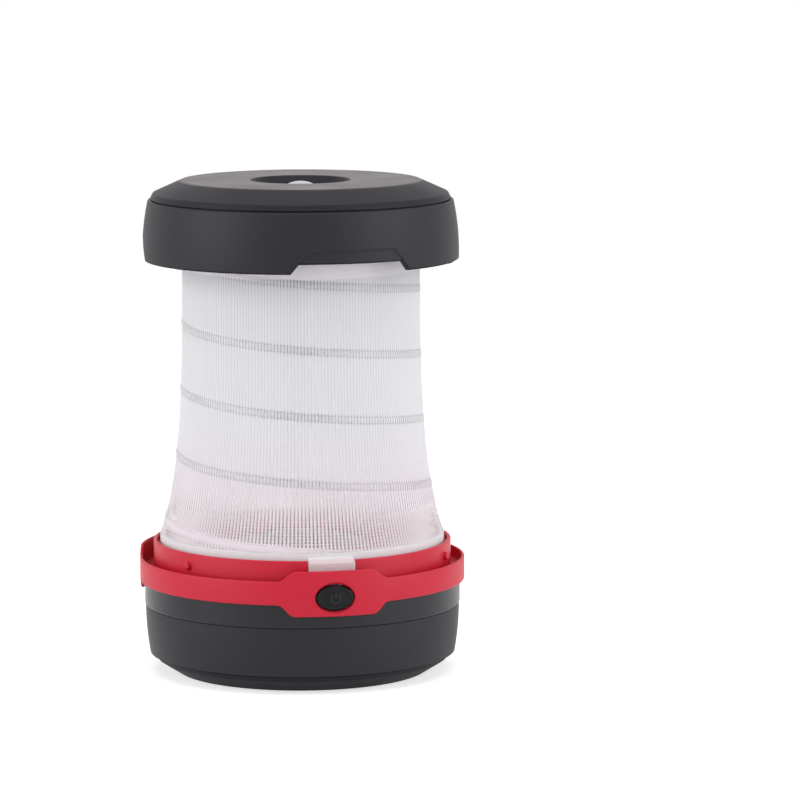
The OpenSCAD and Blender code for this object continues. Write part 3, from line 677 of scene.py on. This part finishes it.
def ring_section(angle):
    """Band with its flange; the three panels reach above and below it, flush with its face."""
    bottom, top = SHOULDER_Z, BAND_TOP
    d = min(abs(near(angle, centre)) for centre in THIRDS)
    if d < PANEL_HALF + PANEL_REACH:
        top = soft_ramp(d, PANEL_TOP_HALF, PANEL_HALF, PANEL_Z[1], BAND_TOP, PANEL_REACH)
        bottom = soft_ramp(d, PANEL_BOTTOM_HALF, PANEL_HALF, PANEL_Z[0], SHOULDER_Z, PANEL_REACH)
    flange_in, flange_low, ledge = COLLAR_R + 0.07, CHANNEL_Z - FLANGE_T, SHOULDER_Z + 0.1
    low_in = PANEL_IN_R if bottom < SHOULDER_Z else WALL_IN_R
    return fillet([
        (low_in, bottom, 0.1), (RING_R, bottom, 0.45), (RING_R, top, 0.45), (PANEL_IN_R, top, 0.3),
        (PANEL_IN_R, CHANNEL_Z, 0.25), (flange_in, CHANNEL_Z, 0.1), (flange_in, flange_low, 0),
        (WALL_IN_R, flange_low, 0), (WALL_IN_R, ledge, 0), (low_in, ledge, 0)], 4)


def ellipse(half_w, half_h, out, sides):
    """Upright ring of points round the button's axis, at a distance out from the lantern's."""
    return [spot(half_w * math.cos(a), -out, BUTTON_Z + half_h * math.sin(a))
            for a in circle(sides)]


def button_cutter():
    """Elliptical prism along -Y at the button, opening out into a shallow dish."""
    profile = ((0.35, 41.0), (0.35, 44.4), (0.5, 44.62), (1.3, 45.2), (1.3, 48.0))
    return skin("cutter", [ellipse(BUTTON_W / 2 + grow, BUTTON_H / 2 + grow, out, 72)
                           for grow, out in profile])


def red_ring_mesh():
    """The red band and its panels, with the button's opening in front."""
    marks = [centre + side * half + k * PANEL_REACH for centre in THIRDS for side in (-1, 1)
             for half in (PANEL_HALF, PANEL_TOP_HALF, PANEL_BOTTOM_HALF)
             for k in (-1, -0.5, 0, 0.5, 1)]
    return cut(swept("red_ring", ring_section, degrees_with(marks)), button_cutter())


def collar_mesh():
    """Red collar with a gap in front; its upper edge is a thin rounded lip."""
    (low, high), steps = COLLAR_Z, 240
    ledge = high - COLLAR_LEDGE
    outline = fillet([(COLLAR_IN_R, low, 0.1), (COLLAR_R, low, 0.1), (COLLAR_R, high, 0.35),
                      (COLLAR_LIP_R, high, 0.3), (COLLAR_LIP_R, ledge, 0.15),
                      (COLLAR_IN_R, ledge, 0.1)], 4)
    span = 360 - 2 * COLLAR_GAP
    angles = [COLLAR_GAP + span * i / steps for i in range(steps + 1)]
    wall = swept("collar", lambda _angle: outline, angles, closed=False)
    return join("inner_collar", [wall] + [lug_mesh(angle) for angle in LUG_ANGLES])


def lug_mesh(angle):
    """Round bayonet lug with a flared foot and a domed end."""
    profile = [  # radius, distance from the lantern's axis
        (LUG_R + 0.12, COLLAR_R - 0.3), (LUG_R + 0.12, COLLAR_R + 0.02), (LUG_R, COLLAR_R + 0.16),
        (LUG_R, LUG_OUT_R - 0.35), (LUG_R * 0.86, LUG_OUT_R - 0.1), (LUG_R * 0.5, LUG_OUT_R),
        (0.02, LUG_OUT_R)]
    turn = Matrix.Rotation(math.radians(angle), 3, "Z")
    return skin("lug", [[turn @ spot(r * math.cos(b), -out, LUG_Z + r * math.sin(b))
                         for b in circle(28)] for r, out in profile], 50)


def hem_mesh():
    """White ring with the sleeve's folded hem round it, and the tab that fills the collar's gap."""
    in_r, low, groove_r = 38.0, 34.6, 38.8
    ring = turned("hem", fillet([
        (in_r, low, 0), (HEM_R, low, 0), (HEM_R, HEM_TOP - 0.1, 0.35),
        (HEM_R - 0.5, HEM_TOP + 0.05, 0.3), (in_r, HEM_TOP, 0.1), (in_r, 37.9, 0),
        (groove_r, 37.7, 0), (groove_r, 36.4, 0), (in_r, 36.2, 0)], 4))
    tab_low, tab_r, collar_top = 31.2, COLLAR_R - 0.04, COLLAR_Z[1]
    outline = fillet([
        (HEM_R, tab_low, 0.1), (tab_r, tab_low, 0.3), (tab_r, collar_top - 0.6, 0.7),
        (HEM_R + 0.6, collar_top + 0.1, 0.6), (HEM_R, collar_top + 0.65, 0)], 4)
    angles = [HEM_TAB_HALF * (i / 12 - 1) for i in range(25)]
    tab = swept("tab", lambda _angle: outline, angles, closed=False)
    return join("hem_ring", [ring, tab])


# ---- button ---------------------------------------------------------------

FACE_PROFILE = [  # share of the outline, depth behind the highest point
    (1.0, 0.95), (0.985, 0.62), (0.93, 0.38), (0.86, 0.3), (0.8, 0.36), (0.74, 0.42),
    (0.6, 0.3), (0.4, 0.14), (0.2, 0.05), (0.01, 0.02)]
STEM_PROFILE = [  # half width, half height, distance from the lantern's axis
    (3, 2, BUTTON_BACK + 0.1), (3, 2, 40.6), (3.8, 2.6, 40.6), (3.8, 2.6, 39.6)]


def button_mesh():
    """Crowned rubber face with a raised rim, on a stem that goes through the wall."""
    rings = [ellipse(BUTTON_W / 2 * share, BUTTON_H / 2 * share, out, 96)
             for share, out in [(1.0, BUTTON_BACK)]
             + [(share, BUTTON_FACE - deep) for share, deep in FACE_PROFILE]]
    stem = [ellipse(half_w, half_h, out, 48) for half_w, half_h, out in STEM_PROFILE]
    return join("button", [skin("button_face", rings, 50), skin("button_stem", stem)])


def power_mark_mesh():
    """Raised on-off mark: an open ring with an upright bar."""
    bead, ring_r, face = 0.13, 1.25, BUTTON_FACE - 0.06
    opening, steps = 76, 40

    def bead_ring(centre, across):
        return [spot(centre[0] + across[0] * bead * math.cos(b),
                     -(face + bead * 0.8 * math.sin(b)),
                     centre[1] + across[1] * bead * math.cos(b)) for b in circle(8)]
    arc = []
    for i in range(steps + 1):
        a = math.radians(90 + opening / 2 + (360 - opening) * i / steps)
        out = (math.cos(a), math.sin(a))
        arc.append(bead_ring((ring_r * out[0], BUTTON_Z - 0.1 + ring_r * out[1]), out))
    bar = [bead_ring((0, BUTTON_Z + z), (1, 0)) for z in (0.1, 0.8, 1.5)]
    return join("power_mark", [skin("mark_ring", arc, 60), skin("mark_bar", bar, 60)])


# ---- cap ------------------------------------------------------------------

NOTCH_CENTRES = [CAP_TURN + angle for angle in THIRDS]
NOTCH_H, POCKET_H, POCKET_DEEP = 2.65, 6.0, 0.28          # heights above the rim, and a depth
NOTCH_MOUTH, NOTCH_TOP, POCKET_TOP = 23.0, 20.0, 16.0     # half angles
POCKET_EDGE = NOTCH_TOP - 0.15
GROOVE_R, GROOVE_HIGH = LUG_OUT_R + LUG_ROOM, 2 * (LUG_R + LUG_ROOM)
GROOVE_HALF = math.degrees((LUG_R + LUG_ROOM) / COLLAR_R)
GROOVE_Z = LUG_Z + COLLAPSE
SEAT_R, SKIRT_FLANGE_IN_R = 40.8, 34.6


def notch_at(angle):
    """(rim height, pocket height, pocket depth) at an angle, from the three rim notches."""
    for centre in NOTCH_CENTRES:
        d = abs(near(angle, centre))
        if d < NOTCH_MOUTH:
            rim = ramp(d, NOTCH_TOP, NOTCH_MOUTH, NOTCH_H, 0)
            pocket = ramp(d, POCKET_TOP, NOTCH_TOP, POCKET_H, NOTCH_H)
            deep = POCKET_DEEP if d < POCKET_EDGE else 0.0
            return CAP_RIM + rim, CAP_RIM + max(pocket, rim), deep
    return CAP_RIM, CAP_RIM, 0.0


def groove_at(angle):
    """(radius inside the rim, radius inside the run) of the bayonet grooves at an angle."""
    for centre in LUG_ANGLES:
        d = near(angle, centre)
        if -GROOVE_HALF < d < CAP_TURN + GROOVE_HALF:
            return (GROOVE_R if d < GROOVE_HALF else SKIRT_IN_R), GROOVE_R
    return SKIRT_IN_R, SKIRT_IN_R


def skirt_section(angle):
    """Wall of the skirt: rim, pocket, bowed side, seam, flange, and inside the bayonet groove."""
    rim, pocket, deep = notch_at(angle)
    entry, groove = groove_at(angle)
    corner_r = skirt_r(rim + 0.4) - deep if deep else skirt_r(rim) - 0.1
    outline = fillet([(entry, rim + 1, 0), (entry, rim, 0.25), (corner_r, rim, 0.7)], 5)[:-1]
    # the pocket's recessed face and its upper edge; without a pocket, the side's own face
    step = max(pocket, rim + 0.8)
    for z in (rim + 0.5, (rim + step) / 2, step - 0.12):
        outline.append((skirt_r(z) - deep, z))
    outline.append((skirt_r(step) - deep * 0.3, step + 0.02))
    outline.append((skirt_r(step + 0.2), step + 0.2))
    rows, top = 14, CAP_SEAM - 0.55
    for i in range(1, rows + 1):
        z = step + 0.2 + (top - step - 0.2) * i / rows
        outline.append((skirt_r(z), z))
    run_low = rim + GROOVE_Z - CAP_RIM - GROOVE_HIGH / 2
    run_top = run_low + GROOVE_HIGH
    flange_low, flange_top = CAP_FLANGE_Z
    return outline + [
        (skirt_r(top) - 0.16, CAP_SEAM - 0.34), (skirt_r(top) - 0.5, CAP_SEAM - 0.28),
        (SEAT_R, CAP_SEAM - 0.3), (SEAT_R, flange_top), (SKIRT_FLANGE_IN_R, flange_top),
        (SKIRT_FLANGE_IN_R, flange_low), (SKIRT_IN_R, flange_low), (SKIRT_IN_R, run_top),
        (groove, run_top - 0.02), (groove, run_low + 0.02), (entry, run_low)]


def cap_shell_mesh():
    """The cap's skirt, with a stop on both sides of every step in its section."""
    tiny = 0.01
    marks = [centre + side * half for centre in NOTCH_CENTRES for side in (-1, 1)
             for half in (NOTCH_MOUTH, NOTCH_TOP, POCKET_EDGE - tiny, POCKET_EDGE + tiny,
                          POCKET_TOP)]
    marks += [centre + edge + side * tiny for centre in LUG_ANGLES for side in (-1, 1)
              for edge in (-GROOVE_HALF, GROOVE_HALF, CAP_TURN + GROOVE_HALF)]
    return swept("cap_shell", skirt_section, degrees_with(marks), degrees=38)


# radius, depth below the top, rounding: the underside outwards, the seam, and the top inwards
CAP_TOP_PROFILE = [
    (7.7, 7.6, 0), (10.6, 7.6, 0), (15.4, 2.2, 0.5), (32.4, 2.2, 0.5), (38.9, 5, 0.3),
    (38.9, 9.1, 0), (40.7, 9.1, 0), (40.7, 5.1, 0), (41.4, 5.1, 0.25), (40.6, 3.5, 0.9),
    (32.8, 0, 1.1), (13.9, 0, 0.7), (9.4, 6.1, 0.3), (7.7, 6.1, 0.15)]


def cap_top_mesh():
    """Chamfered top plate with the torch well, its edges slightly rounded."""
    outline = fillet([(r, TOTAL_H - deep, rounding) for r, deep, rounding in CAP_TOP_PROFILE], 6)
    return turned("cap_top", outline, degrees=40)


def lens_mesh():
    """Domed torch lens on its flange."""
    lens_r, seat, top = 7.6, TOTAL_H - 5.2, TOTAL_H - 0.45
    flange_r, flange_low, flange_top = 9.2, TOTAL_H - 9.1, TOTAL_H - 7.65
    axis_r, steps = 0.01, 24
    rise = top - seat
    dome_r = (lens_r ** 2 + rise ** 2) / (2 * rise)
    edge = math.asin(lens_r / dome_r)
    outline = [(axis_r, flange_low), (flange_r, flange_low), (flange_r, flange_top),
               (lens_r, flange_top)]
    for i in range(steps + 1):
        a = edge * (1 - i / steps)
        outline.append((max(axis_r, dome_r * math.sin(a)), top - dome_r + dome_r * math.cos(a)))
    return turned("torch_lens", outline, 96, 50)


# ---- handle ---------------------------------------------------------------

BAIL_IN_R = BAIL_R - BAIL_W
HEEL_STEPS, BOW_STEPS = 7, 120


def bail_point(x, y, z):
    """Point in metres; x is along the pivots' axis and y towards the middle of the bow."""
    c, s = math.cos(BAIL_AZ), math.sin(BAIL_AZ)
    return spot(x * c - y * s, x * s + y * c, z)


def bail_section(groove, thin):
    """Section of the bow, (distance from its inner edge, height), with a groove on top. groove and
    thin are shares of the full depth and thickness. A trace of the groove stays at the ends, so
    that every section has the same number of points."""
    low, high = -BAIL_T / 2 * thin, BAIL_T / 2 * thin
    deep = high - 1.5 * max(groove, 0.03)
    rim, wall = 1.5, 2.0      # widths beside the groove, at its top and at its floor
    corners = [(0, low, 0.7), (BAIL_W, low, 0.9), (BAIL_W, high, 0.6), (BAIL_W - rim, high, 0.3),
               (BAIL_W - wall, deep, 0.35), (wall, deep, 0.35), (rim, high, 0.3), (0, high, 0.6)]
    return fillet([(x, y, rounding * thin) for x, y, rounding in corners], 4)


def heel_rings(side):
    """Rings of the heel on one side, rounded about its pivot, from its end to the bow."""
    heel = BAIL_T / 2
    rings = []
    for i in range(HEEL_STEPS):
        y = -heel * math.cos(math.pi / 2 * i / HEEL_STEPS)
        thin = max(0.12, math.sqrt(max(0.0, 1 - (y / heel) ** 2)))
        rings.append([bail_point(side * (BAIL_IN_R + x), y, BAIL_AXIS_Z + z)
                      for x, z in bail_section(0, thin)])
    return rings


def handle_mesh():
    """Grooved bow between two rounded heels, with its finger tab."""
    rings = heel_rings(1)
    for i in range(BOW_STEPS + 1):
        a = math.pi * i / BOW_STEPS
        groove = smooth(math.sin(a) * BAIL_R, 4.0, 7.5)
        rings.append([bail_point((BAIL_IN_R + x) * math.cos(a), (BAIL_IN_R + x) * math.sin(a),
                                 BAIL_AXIS_Z + z) for x, z in bail_section(groove, 1.0)])
    rings += reversed(heel_rings(-1))
    return join("handle", [skin("bow", rings, 50), finger_tab_mesh()])


def finger_tab_mesh():
    """Tab in the middle of the bow that the fingertip lifts."""
    low, high = BAIL_AXIS_Z - BAIL_T / 2, BAIL_AXIS_Z + BAIL_T / 2 - 1.2
    root, tip = BAIL_IN_R + 1.6, BAIL_IN_R - 3.4
    outline = fillet([(-5.4, root, 0), (-4.2, tip, 0.8), (4.2, tip, 0.8), (5.4, root, 0)], 6)
    inset = 0.35
    middle = Vector((0, BAIL_IN_R))
    rings = []
    for z, shrink in ((low, inset), (low + inset, 0), (high - inset, 0), (high, inset)):
        ring = []
        for x, y in outline:
            v = Vector((x, y)) - middle
            v = v * (1 - shrink / max(v.length, 1))
            ring.append(bail_point(middle.x + v.x, middle.y + v.y, z))
        rings.append(ring)
    return skin("finger_tab", rings, 40)


# ---- camera, lights and stage ---------------------------------------------

CAMERA_AZIMUTH = math.radians(-11.3)  # from the button towards +X, about the lantern's axis
CAMERA_DISTANCE, CAMERA_HEIGHT = 1.2525, 0.2434
CAMERA_PITCH, CAMERA_YAW = math.radians(7.67), math.radians(1.245)
CAMERA_ROLL = math.radians(-0.123)
LENS_MM = 205.7
LIGHT_TARGET = Vector((0, 0, 0.07))
FLOOR_HALF, FLOOR_Z = 12.0, -0.0001
SKY_LIGHT = 0.36          # the white background's strength, where it isn't seen itself
FLOOR_GLOW = 0.6
PAPER_FADE = (0.25, 0.8)  # the paper turns plain white between these distances
PAPER = rgb(0.8, 0.8, 0.8)
PLAIN_WHITE = rgb(1, 1, 1)


def add_camera():
    data = bpy.data.cameras.new("camera")
    data.sensor_fit = "HORIZONTAL"
    data.sensor_width = 36.0
    data.lens = LENS_MM
    data.clip_start, data.clip_end = 0.05, 30.0
    camera = add_object("camera", data)
    camera.location = (CAMERA_DISTANCE * math.sin(CAMERA_AZIMUTH),
                       -CAMERA_DISTANCE * math.cos(CAMERA_AZIMUTH), CAMERA_HEIGHT)
    aim = (Euler((0, 0, CAMERA_AZIMUTH - CAMERA_YAW)).to_matrix()
           @ Euler((math.pi / 2 - CAMERA_PITCH, 0, 0)).to_matrix()
           @ Euler((0, 0, CAMERA_ROLL)).to_matrix())
    camera.rotation_euler = aim.to_euler()
    bpy.context.scene.camera = camera


def add_area(name, place, size, power, colour=(1, 1, 1)):
    """Rectangular light that shines on the lantern's middle."""
    data = bpy.data.lights.new(name, "AREA")
    data.shape = "RECTANGLE"
    data.size, data.size_y = size
    data.energy = power
    data.color = colour
    light = add_object(name, data)
    light.location = place
    light.rotation_euler = (LIGHT_TARGET - Vector(place)).to_track_quat("-Z", "Y").to_euler()


def add_lights():
    side_light = (0.985, 0.99, 1.0)
    add_area("left_box", (-1.26, -0.3, 0.45), (1.0, 1.2), 11.0, side_light)
    add_area("right_box", (1.05, -0.76, 0.45), (1.0, 1.2), 11.0, side_light)
    add_area("top_box", (0.0, -0.1, 1.3), (1.2, 1.2), 6.0)


def seen_ray(tree):
    """1 for rays that show the background: from the camera, mirrored or refracted."""
    path = tree.nodes.new("ShaderNodeLightPath")
    total = path.outputs["Is Camera Ray"]
    for name in ("Is Glossy Ray", "Is Transmission Ray"):
        node = tree.nodes.new("ShaderNodeMath")
        node.operation = "MAXIMUM"
        tree.links.new(total, node.inputs[0])
        tree.links.new(path.outputs[name], node.inputs[1])
        total = node.outputs[0]
    return total


def add_world():
    """White background that lights the lantern less than it shows."""
    world = bpy.data.worlds.new("world")
    bpy.context.scene.world = world
    world.use_nodes = True
    tree = world.node_tree
    background = tree.nodes["Background"]
    mix = tree.nodes.new("ShaderNodeMix")
    mix.data_type = "FLOAT"
    mix.inputs[2].default_value = SKY_LIGHT
    mix.inputs[3].default_value = 1.0
    tree.links.new(seen_ray(tree), mix.inputs[0])
    tree.links.new(mix.outputs[0], background.inputs["Strength"])
    background.inputs["Color"].default_value = PLAIN_WHITE


def paper_material():
    """White paper that glows a little where it is seen, and is plain white farther away."""
    s = Shader("floor")
    lit = s.add("AddShader")
    s.put(lit.inputs[0], s.add("BsdfDiffuse", Color=PAPER).outputs[0])
    s.put(lit.inputs[1], s.add("Emission", Color=PLAIN_WHITE, Strength=FLOOR_GLOW).outputs[0])
    away = s.add("VectorMath", operation="LENGTH")
    s.put(away.inputs[0], s.point())
    seen = s.mix_shaders(s.spread(away.outputs["Value"], *PAPER_FADE, 0.0, 1.0), lit.outputs[0],
                         s.add("Emission", Color=PLAIN_WHITE, Strength=1.0).outputs[0])
    s.put(s.output.inputs["Surface"],
          s.mix_shaders(seen_ray(s.tree), s.add("BsdfDiffuse", Color=PAPER).outputs[0], seen))
    return s.material


def add_floor():
    mesh = bpy.data.meshes.new("floor")
    corners = [(x * FLOOR_HALF, y * FLOOR_HALF, 0) for x, y in ((-1, -1), (1, -1), (1, 1), (-1, 1))]
    mesh.from_pydata(corners, [], [(0, 1, 2, 3)])
    mesh.materials.append(paper_material())
    floor = add_object("floor", mesh)
    floor.location.z = FLOOR_Z


# ---- assembly -------------------------------------------------------------

bpy.context.scene.view_settings.view_transform = "Standard"
add_camera()
add_world()
add_floor()
add_lights()
dress_cad_nodes()

sleeve = add_piece("fabric_sleeve", sleeve_mesh(), "base", None, ["diffuser_sleeve"])
coil = add_piece("spring_coil", coil_mesh(), "base", WIRE, ["coil_spring"])
add_piece("red_band", red_ring_mesh(), "base", RED, ["red_ring"])
add_piece("red_collar", collar_mesh(), "base", RED, ["inner_collar"])
add_piece("hem_band", hem_mesh(), "base", HEM, ["hem_ring"])
add_piece("push_button", button_mesh(), "button", BUTTON_RUBBER, ["button"])
add_piece("on_off_mark", power_mark_mesh(), "button", MARK_RUBBER)
add_piece("cap_skirt", cap_shell_mesh(), "cap", CASE, ["cap_shell"])
add_piece("cap_plate", cap_top_mesh(), "cap", CASE_TOP, ["cap_top"])
add_piece("lens_dome", lens_mesh(), "cap", LENS, ["torch_lens"])
add_piece("carry_handle", handle_mesh(), "handle", RED_HANDLE, ["handle"])

for soft in (sleeve, coil):
    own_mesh(soft)
